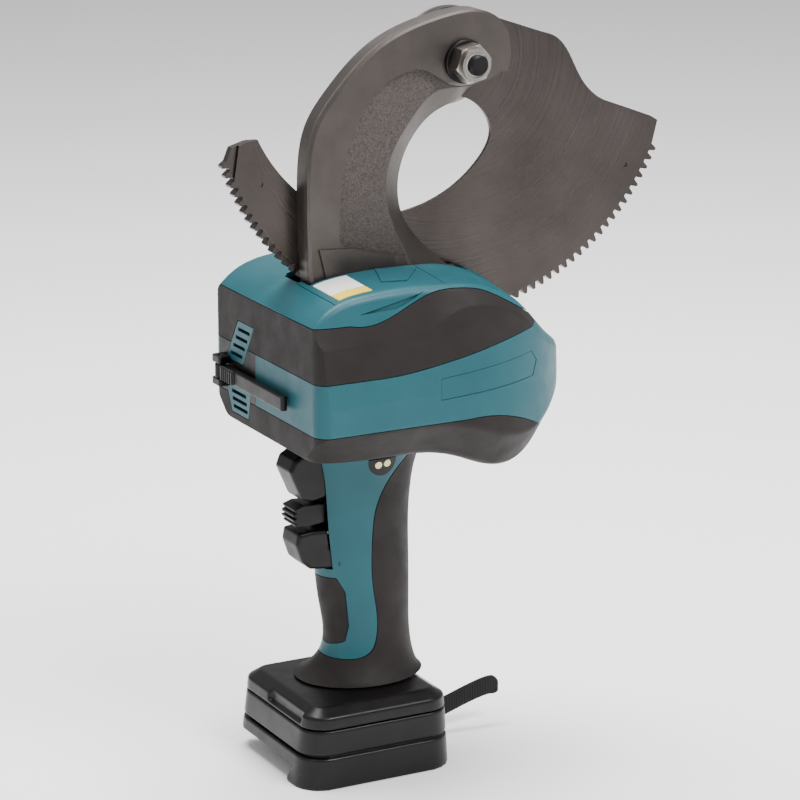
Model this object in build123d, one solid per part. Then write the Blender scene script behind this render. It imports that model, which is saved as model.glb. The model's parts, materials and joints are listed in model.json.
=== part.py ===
from build123d import *
import os
from math import acos, cos, hypot, pi, radians, sin, tan

# Hand-held battery cable cutter. Millimetres, +Z up, +X towards the back of the tool (strap side),
# +Y towards the guide plate side. The origin lies on the floor under the handle's foot.

# ---------------------------------------------------------------- driving dimensions
PIVOT_X, PIVOT_Z = 59.0, 343.0      # blade pivot axis, parallel to Y
BLADE_THICK = 5.5
GEAR_MODULE = 1.5875                # 16 diametral pitch
RIM_TEETH_FULL_TURN = 160
RIM_TEETH_CUT = 61
FIRST_TOOTH_DEG = -160.7            # in the XZ plane, from +X towards +Z
PINION_TEETH = 16
PINION_TOOTH_INDEX = 28             # the pinion sits under this tooth at rest
STAGE_MODULE = 1.0
REDUCTION_TEETH = 60
OUTPUT_TEETH = 14
PRESSURE_DEG = 20.0
ADDENDUM, DEDENDUM = 0.9, 1.15      # in modules
BACKLASH = 0.16

ARM_THICK = 12.1
SIDE_CLEARANCE = 0.1                # between blade and arm, and blade and guide plate
BOLT_R = 5.0
BUSH_R = 7.0
RUNNING = 0.05                      # radial running clearance
NUT_FLATS = 17.0

BODY_HALF_WIDTH = 58.5
BODY_FRONT = -40.5
BODY_CORNER = 7.5
TAIL_START, TAIL_END = 42.0, 112.5
SKIN, WALL = 2.0, 4.5               # depth of the soft skin, depth of skin and shell together
SEAM = 0.2                          # half of a visible seam's width
SLOT_HALF = 7.5
SLOT_R = 131.5

FOOT_FRONT, FOOT_BACK = -40.0, 38.0
FOOT_NEAR, FOOT_FAR = -46.0, 36.0
FOOT_SPLIT_Z, FOOT_TOP_Z = 29.5, 39.5

GRIP_SKIN, GRIP_WALL = 1.8, 4.2

BLADE_NEAR = -BLADE_THICK / 2
BLADE_FAR = BLADE_THICK / 2
ARM_BACK = BLADE_NEAR - SIDE_CLEARANCE
ARM_FRONT = ARM_BACK - ARM_THICK
PITCH_R = GEAR_MODULE * RIM_TEETH_FULL_TURN / 2
TOOTH_STEP = 360 / RIM_TEETH_FULL_TURN
MESH_DEG = FIRST_TOOTH_DEG + TOOTH_STEP * PINION_TOOTH_INDEX
PINION_R = GEAR_MODULE * PINION_TEETH / 2
PINION_X = PIVOT_X + (PITCH_R + PINION_R) * cos(radians(MESH_DEG))
PINION_Z = PIVOT_Z + (PITCH_R + PINION_R) * sin(radians(MESH_DEG))
STAGE_DEG = -150.0                  # direction from the pinion shaft to the motor axis
STAGE_R = STAGE_MODULE * (REDUCTION_TEETH + OUTPUT_TEETH) / 2
MOTOR_X = PINION_X + STAGE_R * cos(radians(STAGE_DEG))
MOTOR_Z = PINION_Z + STAGE_R * sin(radians(STAGE_DEG))

NECK_STEP = 1.0                     # the neck stands this far proud of the arm
GUIDE_NEAR = BLADE_FAR + SIDE_CLEARANCE
GUIDE_FAR = GUIDE_NEAR + 6.0
JAW_SCREWS = [(-12.0, 228.0), (12.0, 216.0), (61.0, 208.5)]     # outside the blade's swing
JAW_SCREW_R = 3.0
CASE_NEAR_0, CASE_NEAR_1 = ARM_FRONT - NECK_STEP - 6.0, ARM_FRONT - NECK_STEP
CASE_FAR_0, CASE_FAR_1 = GUIDE_FAR, GUIDE_FAR + 6.0
NEAR_POSTS = [(2.0, 229.0), (57.0, 199.0)]
FAR_POSTS = [(1.0, 230.0), (-1.0, 176.0)]
POST_R = 4.5
GEAR_Y0, GEAR_Y1 = CASE_FAR_1 + 2.5, CASE_FAR_1 + 10.5
MOTOR_R, HEAD_R = 17.0, 18.0
SHAFT_R, OUTPUT_SHAFT_R = 5.0, 3.0
BEARING_R = 9.5

os.makedirs("parts", exist_ok=True)
written = []


# ---------------------------------------------------------------- helpers
def save(name, shape):
    """Write one node as parts/NAME.step."""
    solids = shape.solids()
    body = solids[0] if len(solids) == 1 else Compound(children=list(solids))
    export_step(body, f"parts/{name}.step")
    written.append(name)
    print(f"{name:24s} {len(solids)} solid(s)  {sum(s.volume for s in solids) / 1000:8.2f} cm3")


def block(x0, x1, y0, y1, z0, z1):
    """A box between two corners."""
    size = Box(x1 - x0, y1 - y0, z1 - z0)
    return Pos((x0 + x1) / 2, (y0 + y1) / 2, (z0 + z1) / 2) * size


def disc_y(x, z, r, y0, y1):
    """A cylinder along Y."""
    return Pos(x, (y0 + y1) / 2, z) * Rot(90, 0, 0) * Cylinder(r, y1 - y0)


def disc_z(x, y, r, z0, z1):
    """A cylinder along Z."""
    return Pos(x, y, (z0 + z1) / 2) * Cylinder(r, z1 - z0)


def disc_x(y, z, r, x0, x1):
    """A cylinder along X."""
    return Pos((x0 + x1) / 2, y, z) * Rot(0, 90, 0) * Cylinder(r, x1 - x0)


def ring_y(x, z, r_out, r_in, y0, y1):
    """A ring along Y."""
    return disc_y(x, z, r_out, y0, y1) - disc_y(x, z, r_in, y0 - 1, y1 + 1)


def slab(points, y0, y1):
    """A plate between two Y planes from a closed outline of (x, z) points."""
    wire = Polyline(*[(x, y0, z) for x, z in points], close=True)
    return extrude(Face(Wire(wire.edges())), amount=y1 - y0, dir=(0, 1, 0))


def slab_of_runs(runs, y0, y1):
    """A plate from runs of (x, z) points: ('line', ...) is straight, ('curve', ...) is a spline."""
    edges = []
    for kind, *points in runs:
        path = [(x, y0, z) for x, z in points]
        if kind == "line":
            edges += Polyline(*path).edges() if len(path) > 2 else [Line(*path).edge()]
        else:
            edges.append(Spline(*path).edge())
    return extrude(Face(Wire(edges)), amount=y1 - y0, dir=(0, 1, 0))


def face_xz(points):
    """A closed flat face in the XZ plane through (x, z) points."""
    wire = Polyline(*[(x, 0, z) for x, z in points], close=True)
    return Face(Wire(wire.edges()))


def from_pivot(points):
    """Shift (x, z) points given from the blade pivot to the part frame."""
    return [(PIVOT_X + x, PIVOT_Z + z) for x, z in points]


def polar(r, degrees_from_x, x=0.0, z=0.0):
    """A point at a radius and angle about (x, z) in the XZ plane."""
    return (x + r * cos(radians(degrees_from_x)), z + r * sin(radians(degrees_from_x)))


def involute(angle):
    return tan(angle) - angle


def tooth_half_angle(teeth, module, r):
    """Half the angle, in degrees, that a gear tooth covers at radius r."""
    pitch_r = module * teeth / 2
    base_r = pitch_r * cos(radians(PRESSURE_DEG))
    at_pitch = pi / (2 * teeth) - BACKLASH / 2 / (2 * pitch_r) * 2
    turn = involute(radians(PRESSURE_DEG)) - involute(acos(base_r / max(r, base_r)))
    return (at_pitch + turn) * 180 / pi


def tooth_points(teeth, module, centre_deg, x, z):
    """One tooth's outline, root to tip to root, turning towards larger angles."""
    pitch_r = module * teeth / 2
    base_r = pitch_r * cos(radians(PRESSURE_DEG))
    root_r = pitch_r - DEDENDUM * module
    tip_r = pitch_r + ADDENDUM * module
    start_r = max(base_r, root_r)
    steps = 4
    radii = [start_r + (tip_r - start_r) * k / steps for k in range(steps + 1)]
    if root_r < base_r:
        radii = [root_r] + radii
    rising = [polar(r, centre_deg - tooth_half_angle(teeth, module, r), x, z) for r in radii]
    falling = [polar(r, centre_deg + tooth_half_angle(teeth, module, r), x, z) for r in reversed(radii)]
    return rising + falling


def spur_gear(teeth, module, x, z, gap_deg, bore_r, y0, y1):
    """A spur gear along Y with a tooth gap facing gap_deg."""
    step = 360 / teeth
    points = []
    for k in range(teeth):
        points += tooth_points(teeth, module, gap_deg + step * (k + 0.5), x, z)
    return slab(points, y0, y1) - disc_y(x, z, bore_r, y0 - 1, y1 + 1)


def capsule_bolt(x, y0, y1, z, r_shank, r_head, head):
    """A cap screw along Y, its head at the y0 end."""
    shank = disc_y(x, z, r_shank, y0, y1)
    cap = disc_y(x, z, r_head, y0 - head, y0)
    socket = disc_y(x, z, r_head * 0.5, y0 - head - 0.1, y0 - head * 0.45)
    return shank + cap - socket


# ---------------------------------------------------------------- moving blade
def moving_blade():
    teeth = []
    for k in range(RIM_TEETH_CUT):
        centre = FIRST_TOOTH_DEG + TOOTH_STEP * k
        teeth += tooth_points(RIM_TEETH_FULL_TURN, GEAR_MODULE, centre, PIVOT_X, PIVOT_Z)
    last, first = teeth[-1], teeth[0]
    hub_r = 24.5
    shoulder = from_pivot([(52, 7.7), (60, 3.6), (66.1, -4.8), (71.9, -15.7), (78.5, -23.5), (88.7, -29.3)])
    corner = from_pivot([(88.7, -29.3), (112.5, -38.4), (116.6, -41.0)])
    hub_top = polar(hub_r, 70.6, PIVOT_X, PIVOT_Z)
    hub_left = polar(hub_r, 180, PIVOT_X, PIVOT_Z)
    hub_low = polar(hub_r, 238, PIVOT_X, PIVOT_Z)
    edge_start = from_pivot([(3.9, -19.4)])[0]
    cutting = [edge_start] + from_pivot([
        (15.2, -25.3), (21.6, -37.6), (13.4, -53.1), (-12.9, -69.6), (-41, -73.6),
        (-65, -68.6), (-90.4, -49.8), (-103.2, -30.6)])
    horn = from_pivot([(-103.2, -30.6), (-107.3, -31.0), (-116.1, -33.5)])
    plane_y = BLADE_NEAR
    lift = lambda pts: [(x, plane_y, z) for x, z in pts]
    edges = Polyline(*lift(teeth)).edges()
    edges += Polyline(*lift([last, corner[-1], corner[-2], corner[0]])).edges()
    edges.append(Spline(*lift(list(reversed(shoulder)))).edge())
    edges.append(Line(*lift([shoulder[0], hub_top])).edge())
    edges.append(ThreePointArc(*lift([hub_top, hub_left, hub_low])).edge())
    edges.append(Line(*lift([hub_low, edge_start])).edge())
    edges.append(Spline(*lift(cutting)).edge())
    edges += Polyline(*lift(horn + [first])).edges()
    blade = extrude(Face(Wire(edges)), amount=BLADE_THICK, dir=(0, 1, 0))
    cutting_edges = blade.edges().filter_by(GeomType.BSPLINE)
    far_edge = [e for e in cutting_edges if e.center().Y > BLADE_FAR - 0.1 and e.length > 150]
    blade = chamfer(far_edge, length=BLADE_THICK * 0.62, length2=BLADE_THICK * 0.95)
    blade -= disc_y(PIVOT_X, PIVOT_Z, BUSH_R + RUNNING, BLADE_NEAR - 1, BLADE_FAR + 1)
    for x, z in from_pivot([(-101.9, -52.0), (98.0, -61.8)]):
        blade -= disc_y(x, z, 1.3, BLADE_NEAR - 1, BLADE_NEAR + 0.5)
    relief = slab(from_pivot([(-130, -30), (-112.5, -30), (-115.5, -49), (-130, -52)]), -10, BLADE_NEAR + 1.4)
    return blade - relief


# ---------------------------------------------------------------- fixed arm
ARM_JAW = from_pivot([
    (19.5, -8.0), (12.0, -14.5), (4.4, -19.9), (-9.2, -25.5), (-19.3, -34.1), (-26.0, -44.9),
    (-29.3, -58.2), (-27.6, -72.4), (-17.3, -88.0), (-2.0, -101.5)])
ARM_WEB = from_pivot([
    (19.5, -7.0), (4.5, -11.5), (-9.9, -12.3), (-23.4, -22.7), (-34.1, -35.7), (-39.6, -49.0),
    (-40.6, -60.5), (-38.0, -75.5), (-31.5, -90.5), (-25.0, -104.0)])
WEB_DEPTH = 3.0


def jaw_cavity():
    """The space inside the hook, wider at the front so that it leaves the bevel."""
    reach = (ARM_THICK + 1.0) / (ARM_THICK - WEB_DEPTH)
    outer = [(a[0] + (b[0] - a[0]) * reach, a[1] + (b[1] - a[1]) * reach) for a, b in zip(ARM_JAW, ARM_WEB)]

    def ring(points, y):
        path = [(x, y, z) for x, z in points]
        right = PIVOT_X + 60
        back = [path[-1], (right, y, path[-1][2]), (right, y, path[0][2]), path[0]]
        return Face(Wire([Spline(*path).edge()] + list(Polyline(*back).edges())))

    main = loft([ring(ARM_JAW, ARM_BACK), ring(outer, ARM_FRONT - 1.0)], ruled=True)
    return main


def fixed_arm():
    runs = [
        ("curve", (-22.0, 226.0), (-23.9, 262.0), (-24.2, 290.0), (-19.2, 318.5), (-9.3, 332.4), (14.5, 353.9),
         (49.6, 366.0), (68.0, 366.8), (80.5, 360.0), (85.6, 347.5), (85.0, 339.0), (82.8, 333.0)),
        ("line", (82.8, 333.0), (76.0, 334.0), (60.0, 300.0), (60.0, 226.0), (-22.0, 226.0))]
    plate = slab_of_runs(runs, ARM_FRONT, ARM_BACK)
    front_rim = [e for e in plate.edges().filter_by(GeomType.BSPLINE) if e.center().Y < ARM_FRONT + 0.1]
    plate = chamfer(front_rim, length=1.1)
    plate -= jaw_cavity()
    pocket_runs = [
        ("curve", (-7.6, 262.5), (-6.9, 284.0), (-2.6, 307.3), (8.6, 327.7), (23.4, 338.8), (35.0, 341.0),
         (47.0, 335.0), (62.0, 331.0)),
        ("line", (62.0, 331.0), (60.0, 300.0), (60.0, 243.0), (-5.5, 259.5), (-7.6, 262.5))]
    plate -= slab_of_runs(pocket_runs, ARM_FRONT - 1, ARM_FRONT + WEB_DEPTH)
    neck = slab([(-18.9, 259.4), (-2.3, 258.4), (56.0, 243.4), (58.0, 228.0), (-15.0, 228.0), (-15.6, 246.0)],
                ARM_FRONT - NECK_STEP, ARM_FRONT + 4.0)
    plate += neck - jaw_cavity()
    plate += root_plate(ARM_FRONT, ARM_BACK)
    plate -= disc_y(PIVOT_X, PIVOT_Z, BUSH_R + RUNNING, ARM_FRONT - 2, ARM_BACK + 1)
    for x, z in JAW_SCREWS:
        plate -= disc_y(x, z, JAW_SCREW_R + RUNNING, ARM_FRONT - 2, ARM_BACK + 1)
    return plate


def root_plate(y0, y1):
    """The hidden foot of the arm and of the guide plate, reaching under the blade's rim."""
    root = slab([(-21.8, 230), (-20, 222), (4, 208), (24, 206.5), (24, 222), (54, 222), (54, 203), (67, 203),
                 (67, 222), (59, 230)], y0, y1)
    return root - disc_y(PINION_X, PINION_Z, 16.5, y0 - 1, y1 + 1)


def guide_plate():
    """Plate on the far side that keeps the blade's rim against the arm."""
    plate = slab([(-18, 228), (-18, 246), (-2, 252), (40, 250), (57, 240), (58, 228)], GUIDE_NEAR, GUIDE_FAR)
    plate += root_plate(GUIDE_NEAR, GUIDE_FAR)
    for x, z in JAW_SCREWS:
        plate -= disc_y(x, z, JAW_SCREW_R + RUNNING, GUIDE_NEAR - 1, GUIDE_FAR + 1)
    return plate


# ---------------------------------------------------------------- pivot set
def pivot_set():
    hub_back = BLADE_FAR + SIDE_CLEARANCE
    save("hub_washer", ring_y(PIVOT_X, PIVOT_Z, 23.8, BUSH_R + RUNNING, hub_back, hub_back + 3.5))
    bush = ring_y(PIVOT_X, PIVOT_Z, BUSH_R, BOLT_R + RUNNING, ARM_FRONT, hub_back + 3.5)
    save("pivot_bush", bush)
    washer_back = ARM_FRONT
    washer_front = washer_back - 2.4
    washer = ring_y(PIVOT_X, PIVOT_Z, 10.6, BOLT_R + RUNNING, washer_front, washer_back)
    rims = washer.edges().filter_by(GeomType.CIRCLE).filter_by(lambda e: e.radius > 10)
    save("nut_washer", chamfer(rims.sort_by(Axis.Y)[:1], length=0.5))
    nut_face = washer_front - 8.0
    hexagon = extrude(
        Plane((PIVOT_X, washer_front, PIVOT_Z), x_dir=(1, 0, 0), z_dir=(0, -1, 0))
        * Rot(0, 0, 12) * RegularPolygon(NUT_FLATS / 2, 6, major_radius=False), amount=8.0)
    corner_r = NUT_FLATS / 2 / cos(radians(30))
    cone_height = corner_r / tan(radians(60)) * 2
    bevel = Pos(PIVOT_X, nut_face + cone_height / 2 - 1.3, PIVOT_Z) * Rot(-90, 0, 0) * Cone(
        NUT_FLATS / 2 + 0.2 - 1.3 / tan(radians(30)), NUT_FLATS / 2 + 0.2 + (cone_height - 1.3) / tan(radians(30)), cone_height)
    nut = hexagon & bevel
    collar = ring_y(PIVOT_X, PIVOT_Z, 7.6, 6.0, nut_face - 2.4, nut_face)
    nut += collar
    nut -= disc_y(PIVOT_X, PIVOT_Z, BOLT_R + RUNNING, nut_face - 4, washer_front + 1)
    save("lock_nut", nut)
    save("nut_insert", ring_y(PIVOT_X, PIVOT_Z, 5.95, BOLT_R + RUNNING, nut_face - 1.9, nut_face))
    tip = nut_face - 5.2
    head_near = hub_back + 3.6
    shank = disc_y(PIVOT_X, PIVOT_Z, BOLT_R, tip, head_near)
    end = shank.edges().filter_by(GeomType.CIRCLE).sort_by(Axis.Y)[:1]
    shank = chamfer(end, length=0.9)
    head = extrude(
        Plane((PIVOT_X, head_near, PIVOT_Z), x_dir=(1, 0, 0), z_dir=(0, 1, 0))
        * RegularPolygon(NUT_FLATS / 2, 6, major_radius=False), amount=6.4)
    head -= disc_y(PIVOT_X, PIVOT_Z, 6.0, head_near + 6.0, head_near + 7)
    save("pivot_bolt", shank + head)


# ---------------------------------------------------------------- body outline
BODY_STATIONS = [
    # x, top z, crease z, underside z, half width, top drop towards the sides, shoulder radius
    (BODY_FRONT, 232.0, 221.5, 167.0, 58.5, 1.0, 3.0),
    (-34.0, 238.5, 221.5, 163.5, 58.5, 1.5, 3.5),
    (-25.0, 243.5, 221.5, 162.0, 58.5, 2.0, 4.0),
    (-6.0, 247.2, 221.5, 161.0, 58.5, 2.5, 5.0),
    (14.0, 248.2, 223.0, 161.0, 58.5, 3.0, 5.0),
    (27.0, 248.2, 229.5, 160.0, 58.5, 3.5, 5.0),
    (42.0, 247.6, 234.0, 156.0, 58.3, 4.0, 5.0),
    (59.0, 243.6, 230.5, 149.5, 56.2, 5.0, 6.0),
    (75.0, 235.0, 221.5, 149.0, 51.0, 6.5, 8.0),
    (89.0, 222.5, 209.5, 157.0, 42.8, 7.0, 9.0),
    (100.0, 212.5, 202.5, 168.0, 33.0, 6.0, 8.0),
    (108.0, 205.0, 198.5, 177.5, 22.0, 3.5, 5.0),
    (TAIL_END, 199.5, 195.5, 184.0, 12.0, 1.8, 2.2)]


def rounded_loop(corners, place):
    """A closed wire of straight lines joined by arcs; each corner is (u, v, radius)."""
    arcs = []
    count = len(corners)
    for k, (u, v, r) in enumerate(corners):
        before, after = corners[k - 1], corners[(k + 1) % count]
        to_before = Vector(before[0] - u, before[1] - v).normalized()
        to_after = Vector(after[0] - u, after[1] - v).normalized()
        half_angle = acos(to_before.dot(to_after)) / 2
        reach = r / tan(half_angle)
        corner = Vector(u, v)
        middle = corner + (to_before + to_after).normalized() * (r / sin(half_angle) - r)
        arcs.append((corner + to_before * reach, middle, corner + to_after * reach))
    edges = []
    for k, (start, middle, end) in enumerate(arcs):
        edges.append(ThreePointArc(place(start), place(middle), place(end)).edge())
        edges.append(Line(place(end), place(arcs[(k + 1) % count][0])).edge())
    return Wire(edges)


def body_section(x, top, crease, under, half, drop, shoulder):
    """One cross section of the body: crowned top, sloped shoulder, upright side, bevelled underside."""
    height = top - under
    edge = 0.87 * half
    crown = 0.35 * edge * hypot(edge, drop) / drop
    side = [(edge, top - drop, shoulder), (0.975 * half, crease, 0.07 * half),
            (half, top - 0.62 * height, 0.25 * half), (half, top - 0.79 * height, 0.08 * half),
            (0.74 * half, under, 0.14 * half)]
    mirrored = [(-u, v, r) for u, v, r in reversed(side)]
    return Face(rounded_loop([(0, top, crown)] + side + mirrored, lambda p: (x, p.X, p.Y)))


def body_block(inset):
    """The body's outside, or a copy of it a given depth inside: a loft with rounded front corners."""
    sections = []
    for x, top, crease, under, half, drop, shoulder in BODY_STATIONS:
        along = max(0, (x - TAIL_START) / (TAIL_END - TAIL_START))
        shrink = inset * (1 - 0.7 * along)
        sections.append(body_section(
            x - inset * along, top - shrink, crease - shrink / 2, under + shrink, half - shrink, drop, shoulder))
    plan = block(BODY_FRONT + inset, TAIL_END + 5, inset - BODY_HALF_WIDTH, BODY_HALF_WIDTH - inset, 120, 260)
    corners = plan.edges().filter_by(Axis.Z).sort_by(Axis.X)[:2]
    return loft(sections) & fillet(corners, BODY_CORNER - inset)


def above(curve, shift):
    """Everything above a side-view line: two flat ends with a curve between."""
    start, end = curve[0], curve[-1]
    lifted = [(x, z + shift) for x, z in curve]
    runs = [
        ("line", (-100, start[1] + shift), lifted[0]),
        ("curve", *lifted),
        ("line", lifted[-1], (end[0] + 60, end[1] + shift + 60), (end[0] + 60, 330), (-100, 330),
         (-100, start[1] + shift))]
    return slab_of_runs(runs, -80, 80)


COVER_LINE = [(-22, 231.3), (0, 233.5), (11, 238.2), (22, 242.0), (36, 242.6), (48, 240.6), (60, 235.0), (76, 226.0),
              (92, 218.0)]
BAND_TOP = [(-8, 205.2), (12, 206.5), (26, 208.6), (42, 211.5), (57, 214.5), (75, 217.5), (95, 220.0)]


def below_band(shift):
    """Everything under the band: level at the front, dropping away at the tail."""
    curve = [(40, 179.5 + shift), (56, 178.8 + shift), (70, 175.0 + shift), (84, 168.5 + shift), (100, 157.0 + shift)]
    runs = [
        ("line", (-100, 179.5 + shift), (40, 179.5 + shift)),
        ("curve", *curve),
        ("line", curve[-1], (160, 110 + shift), (160, 60), (-100, 60), (-100, 179.5 + shift))]
    return slab_of_runs(runs, -80, 80)


def blade_slot():
    return disc_y(PIVOT_X, PIVOT_Z, SLOT_R, -SLOT_HALF, SLOT_HALF)


def neck_opening():
    return block(-24.6, 61.0, ARM_FRONT - 1.4, GUIDE_FAR + 0.5, 215, 262)


LEVER_X0, LEVER_X1 = -45.4, -41.9
LEVER_Z0, LEVER_Z1 = 186.8, 193.8
LEVER_PIN_Y = 43.0
LEVER_PIN_X = -43.9
FRAME_EDGE_Y, FRAME_FAR_Y = 11.0, 50.5     # the dark grille frame covers the front between these


def vent_window(y_shift, depth0, depth1, grow=0.0):
    """A slanted window through the front wall for the upper grille."""
    g = grow
    pts = [(12 - g, 217.5 + g), (29.5 + g, 217.5 + g), (43 + g, 196.5 - g), (24.5 - g, 196.5 - g)]
    wire = Polyline(*[(depth0, y + y_shift, z) for y, z in pts], close=True)
    return extrude(Face(Wire(wire.edges())), amount=depth1 - depth0, dir=(1, 0, 0))


def low_window(depth0, depth1, grow=0.0):
    """A slanted window through the front wall for the lower grille."""
    g = grow
    pts = [(16 - g, 184 + g), (44 + g, 184 + g), (37 + g, 170.5 - g), (19 - g, 170.5 - g)]
    wire = Polyline(*[(depth0, y, z) for y, z in pts], close=True)
    return extrude(Face(Wire(wire.edges())), amount=depth1 - depth0, dir=(1, 0, 0))


def grille(window, slot_boxes):
    piece = window
    for cut in slot_boxes:
        piece -= cut
    return piece


def slanted_slots(y_mid, z_list, half, lean):
    """Level slots across a grille, each shifted by the window's lean."""
    cuts = []
    for k, z in enumerate(z_list):
        y = y_mid + lean * k
        cuts.append(block(BODY_FRONT - 4, BODY_FRONT + 8, y - half, y + half, z - 0.9, z + 0.9))
    return cuts


def body_pieces():
    outside = body_block(0)
    middle = body_block(SKIN)
    inside = body_block(WALL)
    slot, neck = blade_slot(), neck_opening()
    over_cover = above(COVER_LINE, SEAM)
    under_cover_line = above(COVER_LINE, -SEAM)
    over_band = above(BAND_TOP, SEAM)
    under_over_band = above(BAND_TOP, -SEAM)
    low = below_band(-SEAM)
    low_line = below_band(SEAM)
    hollow = body_block(2.6)
    cover = (outside - hollow) & over_cover
    cover = cover - slot - neck
    surface = outside - body_block(0.7)
    for x in (-27.0, 31.0):
        cover -= surface & block(x - SEAM, x + SEAM, -48, -SLOT_HALF, 225, 260)
    pocket = slab([(-17, 235.8), (15, 242.2), (18, 243.4), (12, 240.0), (3, 236.6)], -70, -40)
    cover -= (outside - body_block(1.1)) & pocket
    save("top_cover", cover)

    skin = outside - middle
    upper = (skin & over_band) - under_cover_line - slot - neck
    front_gap = vent_window(0, BODY_FRONT - 5, BODY_FRONT + 6, 0.4)
    save("upper_bumper", upper - front_gap)
    lower_gap = low_window(BODY_FRONT - 5, BODY_FRONT + 9, 0.4)
    lower = (skin & low) - handle_block(-0.3) - lower_gap
    save("lower_bumper", lower)

    frame_zone = block(-60, BODY_FRONT + 6, FRAME_EDGE_Y, FRAME_FAR_Y, 120, 260)
    frame_seam = block(-60, BODY_FRONT + 6, FRAME_EDGE_Y - SEAM, FRAME_FAR_Y + SEAM, 120, 260)
    band = (outside - under_over_band) - low_line - under_cover_line
    grille_frame = (band & skin & frame_zone) - front_gap - lower_gap
    save("grille_frame", grille_frame)

    core = (middle - under_cover_line) + band
    core = core - frame_seam + ((middle - under_cover_line) & frame_seam)
    shell = core - inside - slot - neck
    shell -= front_gap
    shell -= lower_gap
    shell -= handle_block(-0.3)
    near = shell & block(-80, 130, -80, -0.05, 100, 300)
    far = shell & block(-80, 130, 0.05, 80, 100, 300)
    room = body_block(SKIN + 0.6)
    for x, z in NEAR_POSTS:
        near += disc_y(x, z, POST_R, -BODY_HALF_WIDTH, CASE_NEAR_0) & room
    for x, z in FAR_POSTS:
        far += disc_y(x, z, POST_R, CASE_FAR_1, BODY_HALF_WIDTH) & room
    recess = body_block(0.7) & name_panel_zone(0.25)
    near = near - ((outside - recess) & name_panel_zone(0.25))
    save("housing_near", near)
    save("housing_far", far)
    panel = (body_block(0.25) - body_block(0.7)) & name_panel_zone(0.0)
    save("name_panel", panel)

    window = vent_window(0, BODY_FRONT - 1, BODY_FRONT + 4.0) & outside
    save("upper_grille", grille(window, slanted_slots(23.0, (213.5, 209, 204.5, 200), 6.5, 2.9)))
    window = low_window(BODY_FRONT - 1, BODY_FRONT + 7.0) & outside
    save("lower_grille", grille(window, slanted_slots(29.5, (181, 177.3, 173.6), 8.0, -0.8)))

    label = (body_block(-0.35) - outside) & block(-24.0, -6.5, -46.0, -19.0, 225, 260)
    save("blank_label", label & over_cover)
    pad_outline = Polyline((10, -17, 225), (29, -23, 225), (15, -40, 225), (3, -37, 225), close=True)
    pad = (body_block(-0.5) - outside) & extrude(Face(Wire(pad_outline.edges())), amount=35, dir=(0, 0, 1))
    save("light_pad", pad & over_cover)


def name_panel_zone(shrink):
    g = shrink
    pts = [(24 - g, 191 - g), (24 - g, 201 + g), (78, 206 + g), (82 + g, 201), (79 + g, 194 - g)]
    return slab(pts, -80, -10)


# ---------------------------------------------------------------- handle
GRIP_SECTIONS = [
    # z, x front, x back, half width
    (172, -24.0, 49.0, 23.0),
    (162, -22.0, 46.0, 22.0),
    (150, -18.5, 40.0, 19.5),
    (136, -17.0, 36.8, 18.0),
    (118, -16.0, 35.4, 17.2),
    (98, -14.0, 35.6, 16.8),
    (78, -11.5, 35.6, 16.8),
    (60, -9.0, 35.8, 17.5),
    (48, -13.0, 37.5, 21.0),
    (40.5, -24.0, 41.5, 27.0)]


def handle_block(inset):
    """The handle with its flared collar: a loft through ellipses."""
    faces = []
    for z, x0, x1, half in GRIP_SECTIONS:
        centre, radius = (x0 + x1) / 2, (x1 - x0) / 2
        faces.append(Pos(centre, 0, z) * Ellipse(radius - inset, half - inset))
    return loft([f.face() for f in faces])


def back_zone(shift):
    """The part of the handle behind the soft grip's front edge, and the collar."""
    curve = [(40, 160), (29, 153.5), (17, 142), (10.8, 130.5), (8.3, 112), (9, 86.5), (10.8, 64),
             (7.5, 55.5), (-4, 51.5), (-30, 51)]
    moved = [(x + shift, z - shift) for x, z in curve]
    runs = [("curve", *moved), ("line", moved[-1], (-60, 51 - shift), (-60, 20), (80, 20), (80, 175), (40 + shift, 175),
                                moved[0])]
    return slab_of_runs(runs, -60, 60)


def pad_zone(shift):
    s = shift
    pts = [(-40, 93 + s), (-8, 93 + s), (-4.5 + s, 86), (-2.5 + s, 68), (-4 + s, 60), (-9, 57.5 - s), (-40, 57.5 - s)]
    return slab(pts, -60, 60)


TRIGGER_HALF = 9.0
FLANGE_Z = 166.6                    # the handle's flange rests on the inside of the body


def trigger_window():
    return block(-60, -2.5, -TRIGGER_HALF - 0.5, TRIGGER_HALF + 0.5, 97.5, 159.0)


def trigger_recess():
    """Side scallops that leave the triggers free for the finger."""
    upper = disc_y(-27, 146, 11.5, -40, 40)
    lower = disc_y(-27, 108, 12.5, -40, 40)
    return upper + lower


def handle_pieces():
    outside, middle, inside = handle_block(0), handle_block(GRIP_SKIN), handle_block(GRIP_WALL)
    back, back_grown = back_zone(SEAM), back_zone(-SEAM)
    pad, pad_grown = pad_zone(-SEAM), pad_zone(SEAM)
    clear_body = block(-80, 90, -60, 60, 160.6, 200)
    skin = outside - middle
    save("back_grip", (skin & back) - clear_body)
    save("finger_pad", (skin & pad))
    core = middle + ((outside - back_grown) - pad_grown)
    core += handle_block(-3.0) & block(-80, 90, -60, 60, FLANGE_Z, FLANGE_Z + 1.8)
    shell = core - inside - block(-80, 90, -60, 60, FLANGE_Z + 1.8, 200) - trigger_window() - trigger_recess()
    shell -= disc_y(LAMP_X, LAMP_Z, LAMP_R + 0.1, -40, -5)
    for pin in (UPPER_TRIGGER_PIN, LOWER_TRIGGER_PIN):
        shell -= disc_y(*pin, 1.5, -12.0, 12.0)
    save("grip_near", shell & block(-80, 90, -60, -0.05, 20, 200))
    save("grip_far", shell & block(-80, 90, 0.05, 60, 20, 200))


LAMP_X, LAMP_Z, LAMP_R = 12.5, 152.5, 7.5


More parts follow.
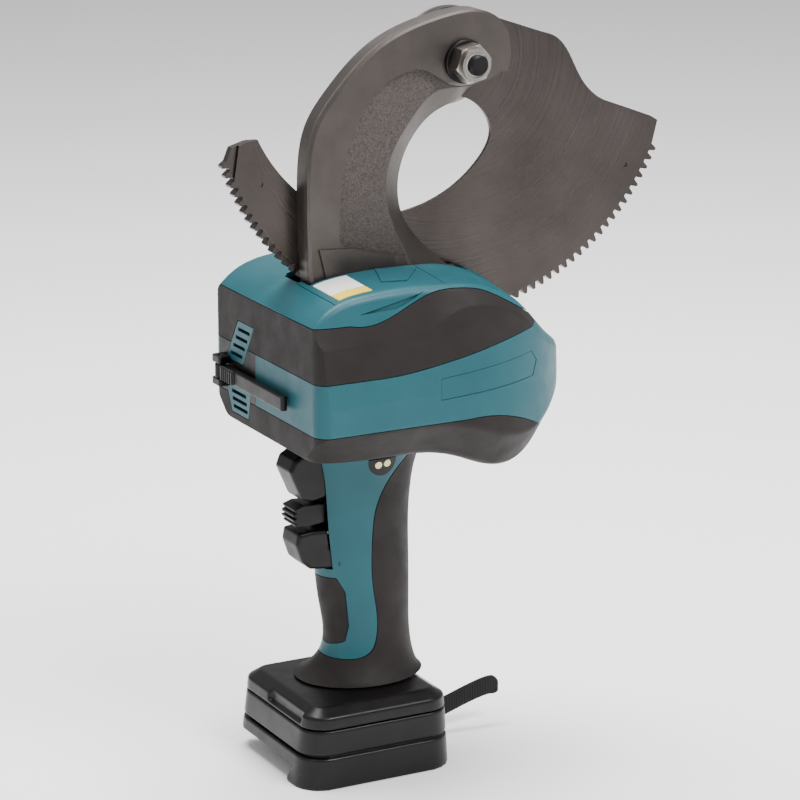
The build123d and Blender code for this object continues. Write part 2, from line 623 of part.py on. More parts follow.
def lamp_pieces():
    outside = handle_block(0.0)
    bezel = disc_y(LAMP_X, LAMP_Z, LAMP_R, -40, -12) & (outside - handle_block(3.0))
    bezel = bezel - block(0, 30, -60, 0, 153.5, 175)
    holes = disc_y(LAMP_X - 2.2, 150.6, 1.9, -40, -8) + disc_y(LAMP_X + 2.6, 151.0, 1.9, -40, -8)
    save("lamp_window", bezel - holes)
    lens = handle_block(-0.4) - handle_block(2.6)
    lenses = lens & (disc_y(LAMP_X - 2.2, 150.6, 1.8, -40, -8) + disc_y(LAMP_X + 2.6, 151.0, 1.8, -40, -8))
    save("lamp_lenses", lenses)


# ---------------------------------------------------------------- triggers
UPPER_TRIGGER_PIN = (-9.5, 155.0)
LOWER_TRIGGER_PIN = (-6.0, 101.0)


def rounded_lever(points, half, radius, pin):
    lever = slab(points, -half, half)
    rim = [e for e in lever.edges() if abs(abs(e.center().Y) - half) < 0.01 and e.center().X < -14]
    lever = fillet(rim, radius)
    return lever - disc_y(*pin, 1.55, -half - 1, half + 1)


def trigger_pieces():
    upper = [(-23, 158.6), (-29.5, 155), (-31.8, 149.5), (-28.5, 142), (-25.2, 134.5), (-20, 133.2), (-12, 134.5),
             (-7.5, 150), (-7.5, 158.2)]
    lower = [(-27.5, 117.8), (-28.6, 112), (-25.5, 103), (-21, 99), (-14, 98.2), (-3.5, 98.4), (-3.5, 104), (-11, 108),
             (-12, 118), (-20, 118.6)]
    half = TRIGGER_HALF
    save("close_trigger", rounded_lever(upper, half, 1.8, UPPER_TRIGGER_PIN))
    save("return_trigger", rounded_lever(lower, half, 1.8, LOWER_TRIGGER_PIN))
    pins = [disc_y(*pin, 1.5, -12.0, 12.0) for pin in (UPPER_TRIGGER_PIN, LOWER_TRIGGER_PIN)]
    save("trigger_pins", pins[0] + pins[1])
    lock = slab([(-24, 131.5), (-28.5, 130), (-29.5, 125), (-28, 121.2), (-22, 120.5), (-12, 121.5), (-12, 131)],
                -6.8, 6.8)
    for k in range(3):
        lock -= block(-31, -27.6, -9, 9, 122.4 + 2.7 * k, 123.5 + 2.7 * k)
    save("lock_lever", lock)


# ---------------------------------------------------------------- things inside the handle
def switch_pieces():
    save("switch_unit", block(-1.5, 17, -9, 9, 104, 150) + block(3, 12, -7, 7, 92, 104))
    springs = []
    for x, z in ((-4.5, 142.0), (-4.5, 111.0)):
        coil = ring_x(0, z, 3.0, 1.9, x - 2.8, x + 2.8)
        springs.append(coil)
    save("trigger_springs", springs[0] + springs[1])
    save("controller_board", block(-2, 26, -1.6, 0.2, 58, 90) + block(2, 20, -8, -1.6, 64, 80))


def ring_x(y, z, r_out, r_in, x0, x1):
    return disc_x(y, z, r_out, x0, x1) - disc_x(y, z, r_in, x0 - 1, x1 + 1)


# ---------------------------------------------------------------- foot
def foot_plan(inset, z, front_extra=0.0):
    x0, x1 = FOOT_FRONT + inset - front_extra, FOOT_BACK - inset
    y0, y1 = FOOT_NEAR + inset, FOOT_FAR - inset
    shape = Pos((x0 + x1) / 2, (y0 + y1) / 2) * RectangleRounded(x1 - x0, y1 - y0, 13 - inset)
    return Pos(0, 0, z) * shape


def foot_pieces():
    low = loft([foot_plan(-1.6, 0, 2.0).face(), foot_plan(0, FOOT_SPLIT_Z - 0.2).face()])
    step = extrude(foot_plan(1.2, 0), amount=FOOT_SPLIT_Z)
    shelf = block(-60, 60, -60, 60, 15.5, 17.0)
    low -= shelf - step
    cavity = block(-33.0, 31.0, -39.0, 60, -5, 24.5)
    low -= cavity
    side_relief = block(-60, 60, -34.0, 60, -5, 9.0)
    sweep = disc_x(-34.0, 9.0 - 9.0, 9.0, -60, 60)
    low -= side_relief - sweep
    low -= disc_y(0, 60, 1, 100, 101)
    save("foot_lower", low)
    up = loft([foot_plan(0, FOOT_SPLIT_Z + 0.2).face(), foot_plan(0.6, 35.5).face(), foot_plan(7.0, FOOT_TOP_Z).face()],
              ruled=True)
    up -= extrude(foot_plan(3.0, FOOT_SPLIT_Z - 1), amount=6.0)
    up -= block(-60, -37.4, -34, 2, 31.5, 50)
    up -= Pos(8.5, 0, 0) * extrude(Pos(0, 0, 36) * Ellipse(26, 20), amount=10)
    up -= handle_block(-0.15)
    save("foot_upper", up)
    rails = block(-32.8, -27.5, -38, 34, 12.0, 16.0) + block(-32.8, -30.2, -38, 34, 16.0, 24.3)
    other = block(25.5, 30.8, -38, 34, 12.0, 16.0) + block(28.2, 30.8, -38, 34, 16.0, 24.3)
    save("battery_rails", rails + other)
    terminal = block(-20, 18, -38.5, -10, 18.5, 24.3)
    save("terminal_block", terminal)
    blades = [block(x - 0.5, x + 0.5, -36, -18, 12.5, 18.5) for x in (-14, -1, 12)]
    save("contact_blades", blades[0] + blades[1] + blades[2])
    screws = []
    for x in (-30, 29):
        for y in (-30, 22):
            screws.append(disc_z(x, y, 2.0, 24.6, 29.2) + disc_z(x, y, 1.2, 29.2, 33.0))
    total = screws[0]
    for extra in screws[1:]:
        total += extra
    return total


# ---------------------------------------------------------------- drive

def drive_pieces():
    toward_pivot = MESH_DEG + 180
    pinion = spur_gear(PINION_TEETH, GEAR_MODULE, PINION_X, PINION_Z, toward_pivot, SHAFT_R - 1.0, -4.5, 4.5)
    shaft = disc_y(PINION_X, PINION_Z, SHAFT_R, CASE_NEAR_0 - 1.0, GEAR_Y1 + 2.0)
    save("drive_pinion", pinion + shaft)
    gap = STAGE_DEG
    wheel = spur_gear(REDUCTION_TEETH, STAGE_MODULE, PINION_X, PINION_Z, gap, SHAFT_R, GEAR_Y0, GEAR_Y1)
    wheel -= ring_y(PINION_X, PINION_Z, 25.0, 11.0, GEAR_Y0 - 1, GEAR_Y0 + 2)
    wheel -= ring_y(PINION_X, PINION_Z, 25.0, 11.0, GEAR_Y1 - 2, GEAR_Y1 + 1)
    for k in range(6):
        x, z = polar(18.0, 60 * k, PINION_X, PINION_Z)
        wheel -= disc_y(x, z, 4.0, GEAR_Y0 - 1, GEAR_Y1 + 1)
    save("reduction_gear", wheel)
    step = 360 / OUTPUT_TEETH
    output = spur_gear(OUTPUT_TEETH, STAGE_MODULE, MOTOR_X, MOTOR_Z, STAGE_DEG + 180 + step / 2, OUTPUT_SHAFT_R, GEAR_Y0, GEAR_Y1)
    save("output_gear", output)
    save("output_shaft", disc_y(MOTOR_X, MOTOR_Z, OUTPUT_SHAFT_R, CASE_FAR_0 - 2.0, GEAR_Y1 + 1.5))
    save("shaft_bearings", ring_y(PINION_X, PINION_Z, BEARING_R, SHAFT_R + RUNNING, CASE_NEAR_0, CASE_NEAR_1)
         + ring_y(PINION_X, PINION_Z, BEARING_R, SHAFT_R + RUNNING, CASE_FAR_0, CASE_FAR_1))
    head = disc_y(MOTOR_X, MOTOR_Z, HEAD_R, -4.0, CASE_FAR_0) + disc_y(MOTOR_X, MOTOR_Z, 8.0, CASE_FAR_0, CASE_FAR_1)
    head -= disc_y(MOTOR_X, MOTOR_Z, OUTPUT_SHAFT_R + RUNNING, CASE_FAR_0 - 2.5, CASE_FAR_1 + 1)
    save("gear_head", head)
    can = disc_y(MOTOR_X, MOTOR_Z, MOTOR_R, -36.0, -4.0)
    for k in range(4):
        x, z = polar(MOTOR_R, 45 + 90 * k, MOTOR_X, MOTOR_Z)
        can -= disc_y(x, z, 1.6, -33.0, -8.0)
    save("motor_can", can)
    cap = disc_y(MOTOR_X, MOTOR_Z, MOTOR_R - 0.5, -40.0, -36.0) + disc_y(MOTOR_X, MOTOR_Z, 5.0, -42.0, -40.0)
    save("motor_end_cap", cap)


def gear_case():
    near = slab([(-19, 236), (57, 238), (68, 214), (66, 198), (52, 192), (28, 192), (24, 206), (4, 207), (-19, 220)],
                CASE_NEAR_0, CASE_NEAR_1)
    near -= disc_y(PINION_X, PINION_Z, BEARING_R, CASE_NEAR_0 - 1, CASE_NEAR_1 + 1)
    far = slab([(-19, 236), (57, 238), (68, 214), (66, 198), (52, 186), (26, 169.5), (-10, 169.5), (-14, 200), (-19, 220)],
               CASE_FAR_0, CASE_FAR_1)
    far -= disc_y(PINION_X, PINION_Z, BEARING_R, CASE_FAR_0 - 1, CASE_FAR_1 + 1)
    far -= disc_y(MOTOR_X, MOTOR_Z, 8.0, CASE_FAR_0 - 1, CASE_FAR_1 + 1)
    screws, spacers = [], []
    for x, z in JAW_SCREWS:
        near -= disc_y(x, z, JAW_SCREW_R, CASE_NEAR_0 - 1, CASE_NEAR_1 + 1)
        far -= disc_y(x, z, JAW_SCREW_R, CASE_FAR_0 - 1, CASE_FAR_1 + 1)
        screws.append(capsule_bolt(x, CASE_NEAR_0, CASE_FAR_1, z, JAW_SCREW_R, 5.0, 5.0))
        spacers.append(ring_y(x, z, 4.6, JAW_SCREW_R, ARM_BACK, GUIDE_NEAR))
    save("gear_case_near", near)
    save("gear_case_far", far)
    save("jaw_screws", screws[0] + screws[1] + screws[2])
    save("jaw_spacers", spacers[0] + spacers[1] + spacers[2])


# ---------------------------------------------------------------- release lever
def lever_pieces():
    lever = block(LEVER_X0, LEVER_X1, -28, LEVER_PIN_Y, LEVER_Z0, LEVER_Z1)
    lever += block(LEVER_X0 - 1.2, LEVER_X1, 25, 38, LEVER_Z0, LEVER_Z1)
    for k in range(5):
        lever -= block(LEVER_X0 - 2, LEVER_X0 - 0.2, 26.5 + 2.2 * k, 27.6 + 2.2 * k, LEVER_Z0 - 1, LEVER_Z1 + 1)
    lever = fillet(lever.edges().filter_by(Axis.Z).sort_by(Axis.Y)[:2], 1.5)
    lever += disc_z(LEVER_PIN_X, LEVER_PIN_Y, 2.8, LEVER_Z0, LEVER_Z1)
    lever -= disc_z(LEVER_PIN_X, LEVER_PIN_Y, 1.5 + RUNNING, LEVER_Z0 - 1, LEVER_Z1 + 1)
    save("release_lever", lever)
    save("lever_pin", disc_z(LEVER_PIN_X, LEVER_PIN_Y, 1.5, LEVER_Z0 - 3.6, LEVER_Z1 + 3.6))
    cheeks = []
    for z0, z1 in ((LEVER_Z0 - 4, LEVER_Z0 - 0.3), (LEVER_Z1 + 0.3, LEVER_Z1 + 4)):
        cheek = fillet(block(-46.6, -36, 38.6, 47.6, z0, z1).edges().filter_by(Axis.Z), 1.2) - body_block(0)
        cheek -= disc_z(LEVER_PIN_X, LEVER_PIN_Y, 1.5, z0 - 1, z1 + 1)
        cheeks.append(cheek)
    save("lever_bracket", cheeks[0] + cheeks[1])


# ---------------------------------------------------------------- strap
def strap_piece():
    """A short tail of flat webbing, standing on edge behind the foot."""
    top = [(FOOT_BACK + 1.8, 13.0), (55.8, 13.8), (73.0, 17.2), (82.5, 21.8), (90.0, 18.5)]
    bottom = [(88.5, 13.5), (79.0, 10.3), (69.0, 7.2), (59.9, 3.8), (FOOT_BACK + 1.8, 2.5)]
    save("wrist_strap", slab_of_runs([("curve", *top), ("line", top[-1], bottom[0]), ("curve", *bottom),
                                      ("line", bottom[-1], top[0])], -1.2, 1.2))


def main():
    save("moving_blade", moving_blade())
    save("fixed_arm", fixed_arm())
    save("guide_plate", guide_plate())
    pivot_set()
    gear_case()
    drive_pieces()
    body_pieces()
    lever_pieces()
    handle_pieces()
    lamp_pieces()
    trigger_pieces()
    switch_pieces()
    foot_pieces()
    strap_piece()


main()
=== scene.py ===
import json
from math import pi, radians, sin

import bmesh
import bpy
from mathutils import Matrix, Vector


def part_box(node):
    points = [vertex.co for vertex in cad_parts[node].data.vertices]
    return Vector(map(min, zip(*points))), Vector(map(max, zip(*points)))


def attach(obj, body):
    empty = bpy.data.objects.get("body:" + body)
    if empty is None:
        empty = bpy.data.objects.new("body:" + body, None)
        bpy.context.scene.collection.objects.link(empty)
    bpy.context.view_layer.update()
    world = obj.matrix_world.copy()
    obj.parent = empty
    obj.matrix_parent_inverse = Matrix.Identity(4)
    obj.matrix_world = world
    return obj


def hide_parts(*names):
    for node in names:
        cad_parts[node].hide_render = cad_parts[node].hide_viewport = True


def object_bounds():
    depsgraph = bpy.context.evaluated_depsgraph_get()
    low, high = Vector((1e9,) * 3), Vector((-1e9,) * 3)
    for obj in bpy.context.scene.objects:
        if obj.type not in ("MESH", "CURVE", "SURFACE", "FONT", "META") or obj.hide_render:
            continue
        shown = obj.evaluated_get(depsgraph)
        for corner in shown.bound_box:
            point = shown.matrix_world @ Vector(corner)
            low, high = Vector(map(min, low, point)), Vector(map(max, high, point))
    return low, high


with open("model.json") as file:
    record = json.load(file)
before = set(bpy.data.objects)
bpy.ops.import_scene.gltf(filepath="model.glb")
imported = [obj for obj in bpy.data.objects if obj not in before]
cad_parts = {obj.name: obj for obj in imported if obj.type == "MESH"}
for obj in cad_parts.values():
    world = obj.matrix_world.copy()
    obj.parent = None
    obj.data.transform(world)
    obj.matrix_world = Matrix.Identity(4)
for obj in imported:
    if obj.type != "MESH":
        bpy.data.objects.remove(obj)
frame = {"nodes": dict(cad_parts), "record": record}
CAD_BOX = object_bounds()
NODES = frame["nodes"]
RECORD = frame["record"]
BODY_OF = {node: body for body, nodes in RECORD["behaviour"]["bodies"].items() for node in nodes}


def centre(node):
    """The middle of a CAD node's box."""
    low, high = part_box(node)
    return (Vector(low) + Vector(high)) / 2


# ------------------------------------------------------------------ shader helpers
# The sockets of a Mix node that mixes colours, which share their names with its other kinds.
MIX_FACTOR, MIX_A, MIX_B, MIX_RESULT = 0, 6, 7, 2
PLASTIC_SPECULAR = 0.24


def grey(level):
    return (level, level, level)


def new_material(name, color, metallic, roughness):
    """A material with a principled shader, and the shader itself."""
    mat = bpy.data.materials.new(name)
    mat.use_nodes = True
    shader = mat.node_tree.nodes["Principled BSDF"]
    shader.inputs["Base Color"].default_value = (*color, 1.0)
    shader.inputs["Metallic"].default_value = metallic
    shader.inputs["Roughness"].default_value = roughness
    if not metallic:
        shader.inputs["Specular IOR Level"].default_value = PLASTIC_SPECULAR
    return mat, shader


def add(mat, kind, **settings):
    """A new node of this kind with these properties."""
    node = mat.node_tree.nodes.new(kind)
    for key, value in settings.items():
        setattr(node, key, value)
    return node


def link(mat, output, socket):
    mat.node_tree.links.new(output, socket)


def place(mat):
    """The point on the surface, in metres in the shared frame."""
    return add(mat, "ShaderNodeTexCoord").outputs["Object"]


def place_along(mat, axis):
    """One coordinate of the point on the surface, in metres."""
    parts = add(mat, "ShaderNodeSeparateXYZ")
    link(mat, place(mat), parts.inputs["Vector"])
    return parts.outputs[axis]


def noise(mat, scale, detail=4.0, roughness=0.55, stretch=(1, 1, 1)):
    """Noise over the surface; a stretch above 1 makes it finer along that axis."""
    mapping = add(mat, "ShaderNodeMapping")
    mapping.inputs["Scale"].default_value = stretch
    texture = add(mat, "ShaderNodeTexNoise")
    texture.inputs["Scale"].default_value = scale
    texture.inputs["Detail"].default_value = detail
    texture.inputs["Roughness"].default_value = roughness
    link(mat, place(mat), mapping.inputs["Vector"])
    link(mat, mapping.outputs["Vector"], texture.inputs["Vector"])
    return texture.outputs["Fac"]


def ramp(mat, value, low, low_color, high, high_color):
    """A colour that goes from low_color, where the value is low, to high_color, where it is high."""
    node = add(mat, "ShaderNodeValToRGB")
    first, last = node.color_ramp.elements
    first.position, first.color = low, (*low_color, 1.0)
    last.position, last.color = high, (*high_color, 1.0)
    link(mat, value, node.inputs["Fac"])
    return node.outputs["Color"]


def set_socket(mat, socket, value):
    """Links a node's output to a socket, or sets it to a number or a colour."""
    if isinstance(value, (int, float)):
        socket.default_value = value
    elif isinstance(value, tuple):
        socket.default_value = (*value, 1.0)
    else:
        link(mat, value, socket)


def blend_colors(mat, factor, a, b, mode="MIX"):
    node = add(mat, "ShaderNodeMix", data_type="RGBA", blend_type=mode)
    set_socket(mat, node.inputs[MIX_FACTOR], factor)
    set_socket(mat, node.inputs[MIX_A], a)
    set_socket(mat, node.inputs[MIX_B], b)
    return node.outputs[MIX_RESULT]


def math_node(mat, operation, a, b):
    node = add(mat, "ShaderNodeMath", operation=operation)
    set_socket(mat, node.inputs[0], a)
    set_socket(mat, node.inputs[1], b)
    return node.outputs[0]


def bump(mat, shader, heights):
    """Chains bumps; each is (height, strength, distance in metres)."""
    previous = None
    for height, strength, distance in heights:
        node = add(mat, "ShaderNodeBump")
        node.inputs["Strength"].default_value = strength
        node.inputs["Distance"].default_value = distance
        link(mat, height, node.inputs["Height"])
        if previous is not None:
            link(mat, previous, node.inputs["Normal"])
        previous = node.outputs["Normal"]
    link(mat, previous, shader.inputs["Normal"])


# ------------------------------------------------------------------ materials
def moulded(name, dark, light, grain, roughness, grain_depth):
    """Moulded plastic or rubber: fine spark-eroded grain over slight mottling and waviness."""
    mat, shader = new_material(name, light, 0.0, roughness)
    mottled = ramp(mat, noise(mat, 38.0, 6.0), 0.30, dark, 0.72, light)
    link(mat, mottled, shader.inputs["Base Color"])
    smoother, rougher = grey(roughness - 0.09), grey(roughness + 0.10)
    worn = ramp(mat, noise(mat, 90.0, 5.0), 0.25, smoother, 0.75, rougher)
    link(mat, worn, shader.inputs["Roughness"])
    fine_grain = noise(mat, grain, 3.0)
    waviness = noise(mat, 60.0, 3.0)
    bump(mat, shader, [(fine_grain, 0.35, grain_depth), (waviness, 0.10, 0.0004)])
    return mat


def ground_steel(name, dark, light, roughness, stretch):
    """Machined or ground steel: fine lines along one way over soft blotches."""
    mat, shader = new_material(name, light, 1.0, roughness)
    lines = noise(mat, 220.0, 4.0, 0.6, stretch)
    tone = ramp(mat, noise(mat, 26.0, 6.0, 0.6), 0.28, dark, 0.75, light)
    lined = ramp(mat, lines, 0.30, grey(0.82), 0.70, grey(1.0))
    link(mat, blend_colors(mat, 0.5, tone, lined, "MULTIPLY"), shader.inputs["Base Color"])
    smoother, rougher = grey(roughness - 0.07), grey(roughness + 0.10)
    link(mat, ramp(mat, lines, 0.3, smoother, 0.7, rougher), shader.inputs["Roughness"])
    bump(mat, shader, [(lines, 0.25, 0.00005), (noise(mat, 400.0, 3.0), 0.12, 0.00006)])
    return mat


def cast_web(name):
    """The arm: ground faces, with the recessed web left as cast."""
    web_from, web_to = 0.0034, 0.0046               # how far the web lies behind the near face
    mat, shader = new_material(name, (0.16, 0.145, 0.13), 0.85, 0.42)
    near_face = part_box("fixed_arm")[0][1]
    y = place_along(mat, "Y")
    deep_enough = math_node(mat, "GREATER_THAN", y, near_face + web_from)
    not_too_deep = math_node(mat, "LESS_THAN", y, near_face + web_to)
    web = math_node(mat, "MULTIPLY", deep_enough, not_too_deep)
    lines = noise(mat, 300.0, 4.0, 0.6, (7, 1, 1))
    blotches = noise(mat, 30.0, 6.0)
    specks = noise(mat, 1300.0, 4.0, 0.6)
    ground = ramp(mat, blotches, 0.28, (0.060, 0.051, 0.047), 0.75, (0.104, 0.091, 0.085))
    cast = ramp(mat, specks, 0.3, (0.058, 0.050, 0.047), 0.7, (0.125, 0.108, 0.102))
    link(mat, blend_colors(mat, web, ground, cast), shader.inputs["Base Color"])
    ground_roughness = ramp(mat, lines, 0.3, grey(0.34), 0.7, grey(0.48))
    link(mat, blend_colors(mat, web, ground_roughness, grey(0.66)), shader.inputs["Roughness"])
    pebbles = math_node(mat, "MULTIPLY", noise(mat, 1100.0, 4.0, 0.6), web)
    bump(mat, shader, [(lines, 0.22, 0.00006), (pebbles, 0.8, 0.0004)])
    return mat


def turned_blade(name):
    """The blade: grinding lines that run round the pivot."""
    mat, shader = new_material(name, (0.2, 0.18, 0.17), 1.0, 0.34)
    pivot = centre("pivot_bolt")
    flat = add(mat, "ShaderNodeVectorMath", operation="MULTIPLY")
    flat.inputs[1].default_value = (1, 0, 1)
    link(mat, place(mat), flat.inputs[0])
    away = add(mat, "ShaderNodeVectorMath", operation="DISTANCE")
    away.inputs[1].default_value = (pivot.x, 0, pivot.z)
    link(mat, flat.outputs["Vector"], away.inputs[0])
    rings = add(mat, "ShaderNodeTexNoise", noise_dimensions="1D")
    rings.inputs["Scale"].default_value = 900.0
    rings.inputs["Detail"].default_value = 6.0
    link(mat, away.outputs["Value"], rings.inputs["W"])
    lines = rings.outputs["Fac"]
    tone = ramp(mat, noise(mat, 17.0, 5.0), 0.30, (0.056, 0.048, 0.045), 0.74, (0.092, 0.079, 0.075))
    lined = ramp(mat, lines, 0.35, grey(0.80), 0.65, grey(1.0))
    link(mat, blend_colors(mat, 0.5, tone, lined, "MULTIPLY"), shader.inputs["Base Color"])
    link(mat, ramp(mat, lines, 0.35, grey(0.26), 0.65, grey(0.42)), shader.inputs["Roughness"])
    bump(mat, shader, [(lines, 0.25, 0.00005), (noise(mat, 500.0, 3.0), 0.10, 0.00005)])
    return mat


def banded_label():
    """A blank label: white with a plain yellow band along its near edge."""
    band_share = 0.30
    mat, shader = new_material("blank_label", (0.75, 0.75, 0.72), 0.0, 0.30)
    low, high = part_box("blank_label")
    band_edge = low[1] + band_share * (high[1] - low[1])
    band = math_node(mat, "LESS_THAN", place_along(mat, "Y"), band_edge)
    paper = ramp(mat, noise(mat, 60.0), 0.3, (0.66, 0.66, 0.63), 0.7, (0.78, 0.78, 0.76))
    link(mat, blend_colors(mat, band, paper, (0.72, 0.52, 0.06)), shader.inputs["Base Color"])
    bump(mat, shader, [(noise(mat, 900.0, 2.0), 0.06, 0.00003)])
    return mat


def fine_finish(name, color, roughness, metallic=0.0, grain=700.0):
    """A small piece in one colour, slightly mottled, with fine grain."""
    mat, shader = new_material(name, color, metallic, roughness)
    dark = tuple(channel * 0.85 for channel in color)
    light = tuple(min(1.0, channel * 1.15) for channel in color)
    link(mat, ramp(mat, noise(mat, 50.0), 0.3, dark, 0.7, light), shader.inputs["Base Color"])
    bump(mat, shader, [(noise(mat, grain, 3.0), 0.10, 0.00004)])
    return mat


TEAL = moulded(
    "teal_plastic", dark=(0.0085, 0.070, 0.088), light=(0.0115, 0.083, 0.103),
    grain=1500.0, roughness=0.42, grain_depth=0.00005,
)
RUBBER = moulded(
    "soft_overmould", dark=(0.0085, 0.0060, 0.0058), light=(0.0135, 0.0098, 0.0095),
    grain=1900.0, roughness=0.62, grain_depth=0.00009,
)
BLACK = moulded(
    "black_plastic", dark=(0.0022, 0.0018, 0.0018), light=(0.0042, 0.0034, 0.0034),
    grain=1500.0, roughness=0.38, grain_depth=0.00003,
)
FOOT = moulded(
    "foot_plastic", dark=(0.0028, 0.0022, 0.0022), light=(0.0052, 0.0042, 0.0042),
    grain=1100.0, roughness=0.34, grain_depth=0.00004,
)
NUT = ground_steel("nut_steel", (0.26, 0.24, 0.215), (0.46, 0.43, 0.395), 0.30, (1, 12, 1))
DARK_STEEL = ground_steel("dark_steel", (0.018, 0.017, 0.017), (0.045, 0.042, 0.041), 0.38, (1, 1, 1))
GEAR = ground_steel("gear_steel", (0.30, 0.29, 0.28), (0.50, 0.49, 0.48), 0.28, (1, 8, 1))
ARM = cast_web("arm_steel_cast")
BLADE = turned_blade("blade_steel_turned")
LABEL = banded_label()
LENS = fine_finish("lamp_lens", (0.80, 0.76, 0.42), 0.12)
NYLON = fine_finish("nylon_ring", (0.55, 0.57, 0.55), 0.35)
BRASS = fine_finish("brass", (0.62, 0.47, 0.22), 0.28, metallic=1.0)
BOARD = fine_finish("circuit_board", (0.02, 0.12, 0.05), 0.40)
WEBBING = fine_finish("strap_yarn", (0.012, 0.012, 0.013), 0.85, grain=2600.0)

FINISH = {
    TEAL: "top_cover housing_near housing_far grip_near grip_far name_panel light_pad "
          "upper_grille lower_grille",
    RUBBER: "upper_bumper lower_bumper back_grip finger_pad",
    BLACK: "grille_frame release_lever lever_bracket close_trigger return_trigger lock_lever "
           "lamp_window switch_unit battery_rails terminal_block motor_end_cap",
    FOOT: "foot_lower foot_upper",
    ARM: "fixed_arm",
    BLADE: "moving_blade",
    DARK_STEEL: "nut_washer guide_plate gear_case_near gear_case_far motor_can pivot_bolt "
                "trigger_pins lever_pin",
    NUT: "lock_nut hub_washer jaw_screws jaw_spacers",
    GEAR: "drive_pinion reduction_gear output_gear output_shaft shaft_bearings gear_head "
          "trigger_springs",
    NYLON: "nut_insert",
    LABEL: "blank_label",
    LENS: "lamp_lenses",
    BRASS: "contact_blades pivot_bush",
    BOARD: "controller_board",
    WEBBING: "wrist_strap",
}
for material, names in FINISH.items():
    for node_name in names.split():
        materials = NODES[node_name].data.materials
        materials.clear()
        materials.append(material)


# ------------------------------------------------------------------ pieces that replace CAD nodes
def mesh_object(name, build):
    """A new object from a bmesh that build(bm) fills."""
    bm = bmesh.new()
    build(bm)
    bmesh.ops.recalc_face_normals(bm, faces=bm.faces)
    mesh = bpy.data.meshes.new(name)
    bm.to_mesh(mesh)
    bm.free()
    obj = bpy.data.objects.new(name, mesh)
    bpy.context.scene.collection.objects.link(obj)
    return obj


def shade_smooth(mesh):
    for polygon in mesh.polygons:
        polygon.use_smooth = True


def softened(node, voxel, passes):
    """A copy of a CAD node with its sharp edges rounded over, as moulded plastic has them."""
    same_point = 0.00001

    def copy(bm):
        bm.from_mesh(NODES[node].data)
        bmesh.ops.remove_doubles(bm, verts=bm.verts, dist=same_point)

    obj = mesh_object(node + "_moulded", copy)
    remesh = obj.modifiers.new("remesh", "REMESH")
    remesh.mode = "VOXEL"
    remesh.voxel_size = voxel
    smooth = obj.modifiers.new("smooth", "SMOOTH")
    smooth.iterations = passes
    smooth.factor = 0.5
    evaluated = obj.evaluated_get(bpy.context.evaluated_depsgraph_get())
    rounded = bpy.data.meshes.new_from_object(evaluated)
    obj.modifiers.clear()
    obj.data = rounded
    rounded.materials.clear()
    rounded.materials.append(NODES[node].data.materials[0])
    shade_smooth(rounded)
    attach(obj, BODY_OF[node])
    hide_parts(node)


# Each row is (node, voxel in metres, smoothing passes); more passes round the edges further.
for node_name, voxel, passes in (
    ("close_trigger", 0.0005, 14),
    ("return_trigger", 0.0005, 14),
    ("lock_lever", 0.0003, 4),
    ("release_lever", 0.00035, 4),
    ("lever_bracket", 0.00035, 4),
    ("foot_upper", 0.0006, 9),
    ("foot_lower", 0.0006, 9),
):
    softened(node_name, voxel, passes)

STRAP_WIDTH = 0.0098
STRAP_HALF_THICKNESS = 0.0009
STRAP_ROOT_GAP, STRAP_TIP_GAP = 0.0008, 0.0017      # clear of the CAD strap's two ends
STRAP_LOWEST = 0.0030                               # above the bottom of the CAD strap's box
STRAP_RISE = 0.0100
STRAP_DROP_START, STRAP_TIP_DROP = 0.86, 0.0016     # a share of the length, and how far the tip drops
STRAP_TAPER_START, STRAP_TAPER = 0.93, 0.35         # a share of the length, and a share of the width
STRAP_HEM_THINNING = 0.55
STRAP_RIBS = 32
STRAP_RIB_HEIGHT, STRAP_RIB_SHARE = 0.00022, 0.6
STRAP_STEPS, STRAP_ACROSS = 150, 10


def past(t, start):
    """0 up to start, and then up to 1 at t = 1."""
    return max(0.0, (t - start) / (1 - start))


def webbing_strap(bm):
    """Flat webbing on edge, with a ribbed weave along it, inside the CAD strap's box."""
    low, high = (Vector(corner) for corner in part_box("wrist_strap"))
    length = high.x - low.x - STRAP_ROOT_GAP - STRAP_TIP_GAP
    rings = []
    for i in range(STRAP_STEPS + 1):
        t = i / STRAP_STEPS
        x = low.x + STRAP_ROOT_GAP + t * length
        rise = STRAP_LOWEST + STRAP_RISE * t * t * (3 - 2 * t)
        z = low.z + rise + STRAP_WIDTH / 2 - STRAP_TIP_DROP * past(t, STRAP_DROP_START) ** 2
        half_width = STRAP_WIDTH / 2 * (1 - STRAP_TAPER * past(t, STRAP_TAPER_START) ** 2)
        rib = STRAP_RIB_HEIGHT * (1 + sin(2 * pi * STRAP_RIBS * t))
        ring = []
        for side in (-1, 1):
            for j in range(STRAP_ACROSS + 1):
                s = side * (1 - 2 * j / STRAP_ACROSS)
                hem = 1 - STRAP_HEM_THINNING * abs(s) ** 6
                y = side * (STRAP_HALF_THICKNESS * hem + rib * hem * STRAP_RIB_SHARE)
                ring.append(bm.verts.new((x, y, z + s * half_width)))
        rings.append(ring)
    count = len(rings[0])
    for a, b in zip(rings, rings[1:]):
        for k in range(count):
            following = (k + 1) % count
            bm.faces.new((a[k], a[following], b[following], b[k]))
    bm.faces.new(rings[0])
    bm.faces.new(rings[-1])


strap = mesh_object("strap_webbing", webbing_strap)
strap.data.materials.append(WEBBING)
shade_smooth(strap.data)
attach(strap, "tool")
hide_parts("wrist_strap")


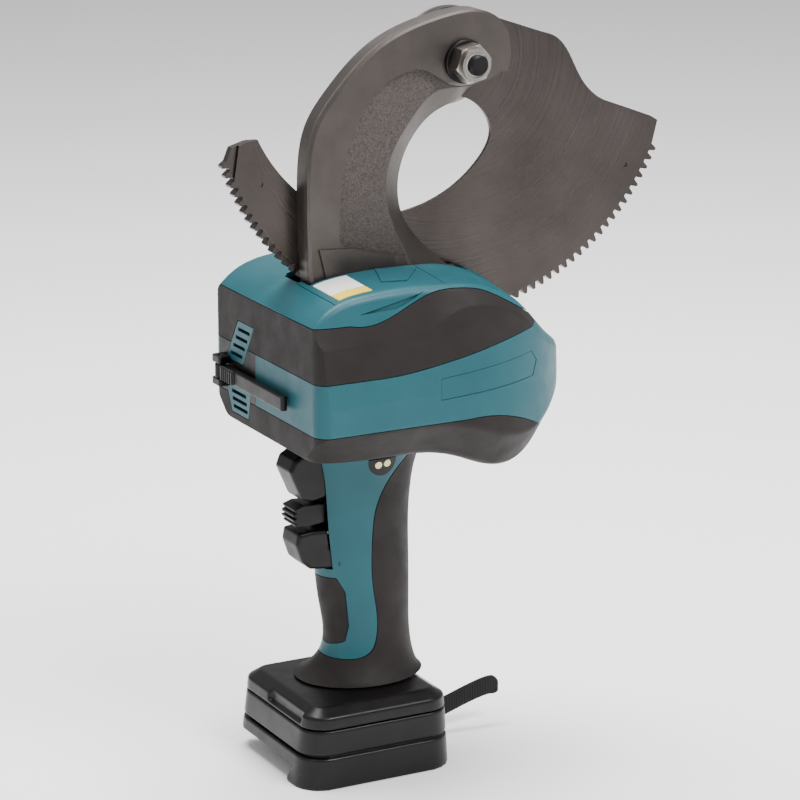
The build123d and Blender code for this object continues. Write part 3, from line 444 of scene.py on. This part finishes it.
# ------------------------------------------------------------------ floor
FLOOR_HALF = 6.0
FLOOR_GAP = 0.0002


def floor_plane(bm):
    corners = ((-1, -1), (1, -1), (1, 1), (-1, 1))
    bm.faces.new([bm.verts.new((x * FLOOR_HALF, y * FLOOR_HALF, 0)) for x, y in corners])


floor = mesh_object("floor", floor_plane)
floor.location.z = CAD_BOX[0][2] - FLOOR_GAP
floor_material, _ = new_material("pale_floor", grey(0.95), 0.0, 0.6)
floor.data.materials.append(floor_material)


# ------------------------------------------------------------------ light
LIGHT_TARGET = (0.04, 0.0, 0.2)
SKY_STRENGTH = 0.58


def area_light(name, location, size, power):
    """A rectangular light that points at the middle of the tool."""
    data = bpy.data.lights.new(name, "AREA")
    data.shape = "RECTANGLE"
    data.size, data.size_y = size
    data.energy = power
    obj = bpy.data.objects.new(name, data)
    obj.location = location
    towards = Vector(LIGHT_TARGET) - Vector(location)
    obj.rotation_euler = towards.to_track_quat("-Z", "Y").to_euler()
    bpy.context.scene.collection.objects.link(obj)


area_light("key", (0.5, -1.1, 1.7), (0.8, 0.8), 46.0)
area_light("fill", (-1.4, -0.4, 0.9), (0.9, 1.2), 2.5)
area_light("top", (0.1, 0.3, 1.5), (1.0, 0.8), 50.0)

world = bpy.data.worlds.new("studio")
bpy.context.scene.world = world
world.use_nodes = True
sky = world.node_tree.nodes["Background"]
sky.inputs["Color"].default_value = (1, 1, 1, 1)
sky.inputs["Strength"].default_value = SKY_STRENGTH


# ------------------------------------------------------------------ camera
CAMERA_LOCATION = (-0.72105, -1.42548, 0.62661)
CAMERA_YAW, CAMERA_PITCH = 27.86, 15.63             # degrees, towards +X and down
CAMERA_LENS, CAMERA_SENSOR = 154.2, 36.0

camera_data = bpy.data.cameras.new("camera")
camera_data.lens = CAMERA_LENS
camera_data.sensor_width = CAMERA_SENSOR
camera = bpy.data.objects.new("camera", camera_data)
camera.location = CAMERA_LOCATION
camera.rotation_euler = (radians(90 - CAMERA_PITCH), 0, radians(-CAMERA_YAW))
bpy.context.scene.collection.objects.link(camera)
bpy.context.scene.camera = camera
